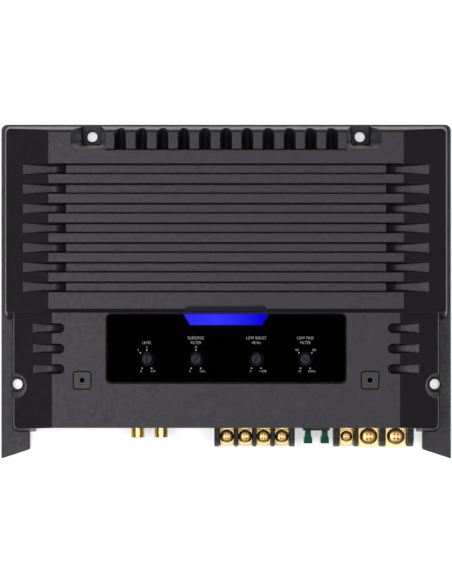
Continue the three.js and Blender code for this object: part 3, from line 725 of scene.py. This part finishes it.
def trimmer(name, turn):
    """A slotted shaft, turned to its setting."""
    node = f"{name}_shaft"
    low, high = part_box(node)
    centre = centre_of(node)
    radius = (high.x - low.x) / 2
    height = high.z - low.z
    stem = 1.5 * MM
    collar = 5.9 * MM
    rim = 0.35 * MM
    profile = [
        (0, 0),
        (stem, 0),
        (stem, collar),
        (radius, collar),
        (radius, height - rim),
        *arc(radius - rim, height - rim, rim, 20, 90, 4),
        (0, height),
    ]
    slot = block((-0.5 * MM, -radius, height - 1.9 * MM), (0.5 * MM, radius, height + MM))
    bm = cut_away(lathe(profile, 64), [slot])
    place = Matrix.Translation((centre.x, centre.y, low.z)) @ Matrix.Rotation(math.radians(-turn), 4, "Z")
    bmesh.ops.transform(bm, matrix=place, verts=bm.verts)
    standing_in(node, f"{node}_slotted", bm)


for name, turn in SLOT_TURN.items():
    trimmer(name, turn)

CAPITAL = 0.7  # height of the font's capitals for a size of 1
LETTER_WIDTH = 0.74  # how much the letters are narrowed


def letters(text, x, y, height):
    """Flat lettering on the panel, centred on a point, as mesh data."""
    curve = bpy.data.curves.new("letters", "FONT")
    curve.body = text
    curve.size = height / CAPITAL
    curve.align_x = "CENTER"
    curve.align_y = "CENTER"
    curve.space_character = 1.2
    curve.offset = -0.016 * curve.size
    curve.extrude = INK_HEIGHT / 2
    holder = bpy.data.objects.new("letters", curve)
    scene.collection.objects.link(holder)
    graph = bpy.context.evaluated_depsgraph_get()
    mesh = bpy.data.meshes.new_from_object(holder.evaluated_get(graph))
    narrow = Matrix.Diagonal((LETTER_WIDTH, 1, 1, 1))
    mesh.transform(Matrix.Translation((x, y, PANEL_TOP + INK_HEIGHT)) @ narrow)
    bpy.data.objects.remove(holder)
    bpy.data.curves.remove(curve)
    return mesh


def dot(x, y):
    """A printed dot of the scale round a control."""
    round_outline = arc(x, y, 0.36 * MM, 0, 345, 23)
    return slab(round_outline, PANEL_TOP + INK_HEIGHT / 2, PANEL_TOP + 1.5 * INK_HEIGHT)


TITLE_ROWS = (-27.4, -30.2)  # in Y, mm
TITLE_HEIGHT = 1.7
NUMBER_HEIGHT = 1.3
# where a control's dots can be, from its centre, mm
UP, UPPER_LEFT, UPPER_RIGHT = (0, 5.3), (-3.8, 3.7), (3.8, 3.7)
LOWER_LEFT, LOWER_RIGHT = (-2.8, -5.4), (2.8, -5.4)
NUMBER_PLACE = {  # each number's offset from its dot
    UP: (0, 1.7),
    UPPER_LEFT: (-1.3, 1.6),
    UPPER_RIGHT: (1.3, 1.6),
    LOWER_LEFT: (-0.6, -1.8),
    LOWER_RIGHT: (1.0, -1.8),
}
MARKINGS = {
    "level": ("", "LEVEL", {LOWER_LEFT: "8", LOWER_RIGHT: "0.2V", UP: "2", UPPER_LEFT: "4"}),
    "low_cut": ("SUBSONIC", "FILTER", {LOWER_LEFT: "0", LOWER_RIGHT: "75Hz", UP: "25"}),
    "boost": ("LOW BOOST", "40 Hz", {LOWER_LEFT: "0", LOWER_RIGHT: "+10dB"}),
    "low_pass": (
        "LOW PASS",
        "FILTER",
        {LOWER_LEFT: "50", LOWER_RIGHT: "300Hz", UPPER_LEFT: "100", UPPER_RIGHT: "200"},
    ),
}


def markings(name, upper, lower, scale):
    """The printed words, and a scale of {dot's place: number}, for one control."""
    centre = centre_of(f"{name}_shaft")
    bm = bmesh.new()
    for text, row in zip((upper, lower), TITLE_ROWS):
        if text:
            bm.from_mesh(letters(text, centre.x, row * MM, TITLE_HEIGHT * MM))
    for spot, number in scale.items():
        x = centre.x + spot[0] * MM
        y = centre.y + spot[1] * MM
        across, up = NUMBER_PLACE[spot]
        bm.from_mesh(letters(number, x + across * MM, y + up * MM, NUMBER_HEIGHT * MM))
        absorb(bm, dot(x, y))
    finished(f"{name}_markings", bm, INK)


for name, (upper, lower, scale) in MARKINGS.items():
    markings(name, upper, lower, scale)


def insert_thread(side):
    """A steel ring in the mouth of a threaded insert."""
    node = f"cover_insert_{side}"
    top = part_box(node)[1].z - 0.12 * MM
    centre = centre_of(node)
    ring = [
        (1.45 * MM, -4 * MM),
        (2.3 * MM, -4 * MM),
        (2.3 * MM, -0.15 * MM),
        (2.15 * MM, 0),
        (1.75 * MM, 0),
        (1.45 * MM, -0.3 * MM),
    ]
    place = Matrix.Translation((centre.x, centre.y, top))
    finished(f"{node}_thread", lathe(ring, 40, place), THREAD)


insert_thread("left")
insert_thread("right")

# ---------------------------------------------------------------- stage, light and camera


def stage():
    """A pale floor that glows a little, so that it stays white round the object."""
    bpy.ops.mesh.primitive_plane_add(size=8)
    floor = bpy.context.object
    floor.name = "floor"
    shader = Shader("pale_floor", (0.86, 0.86, 0.86), 0.7, Emission_Strength=0.55)
    shader.set("Emission Color", (1.0, 1.0, 1.0, 1.0))
    shader.spread(shader.noise(3), "Roughness", 0.65, 0.75)
    floor.data.materials.append(shader.material)


def softbox(name, place, target, width, height, power):
    """A soft light aimed at the target. Its height runs up and towards the vertical above it."""
    lamp = bpy.data.lights.new(name, "AREA")
    lamp.shape = "RECTANGLE"
    lamp.size = width
    lamp.size_y = height
    lamp.energy = power
    obj = bpy.data.objects.new(name, lamp)
    scene.collection.objects.link(obj)
    obj.location = place
    obj.rotation_euler = (Vector(place) - Vector(target)).to_track_quat("Z", "Y").to_euler()
    obj.visible_camera = False


def lighting():
    """Two lights overhead, the left one stronger, and a weak one that gives the front some shape."""
    centre = (0, 0, 0.03)
    softbox("top_left", (-0.50, 0, 1.75), centre, 1.3, 0.5, 18)
    softbox("top_right", (0.50, 0, 1.75), centre, 1.3, 0.5, 10.5)
    softbox("front", (0, -1.7, 0.35), centre, 1.4, 0.5, 2)


def world():
    """A pale backdrop to the camera, which gives almost no light itself."""
    made = bpy.data.worlds.new("studio")
    scene.world = made
    made.use_nodes = True
    tree = made.node_tree
    background = tree.nodes["Background"]
    seen = tree.nodes.new("ShaderNodeBackground")
    seen.inputs["Color"].default_value = (0.9, 0.9, 0.9, 1)
    seen.inputs["Strength"].default_value = 1.0
    background.inputs["Color"].default_value = (0.9, 0.95, 1.0, 1)
    background.inputs["Strength"].default_value = 0.045
    path = tree.nodes.new("ShaderNodeLightPath")
    mix = tree.nodes.new("ShaderNodeMixShader")
    tree.links.new(path.outputs["Is Camera Ray"], mix.inputs["Fac"])
    tree.links.new(background.outputs["Background"], mix.inputs[1])
    tree.links.new(seen.outputs["Background"], mix.inputs[2])
    tree.links.new(mix.outputs["Shader"], tree.nodes["World Output"].inputs["Surface"])


CAMERA_HEIGHT = 1.65
VIEW_LENGTH = 0.3504  # what the upright frame takes in, at the height of the object's middle


def camera():
    """Straight above the object, with +Y up the frame."""
    data = bpy.data.cameras.new("camera")
    obj = bpy.data.objects.new("camera", data)
    scene.collection.objects.link(obj)
    obj.location = (-0.06 * MM, -0.21 * MM, CAMERA_HEIGHT)
    middle = 0.02
    data.sensor_width = 36
    data.lens = data.sensor_width * (CAMERA_HEIGHT - middle) / VIEW_LENGTH
    data.clip_end = 20
    scene.camera = obj


stage()
lighting()
world()
camera()
scene.view_settings.view_transform = "Standard"
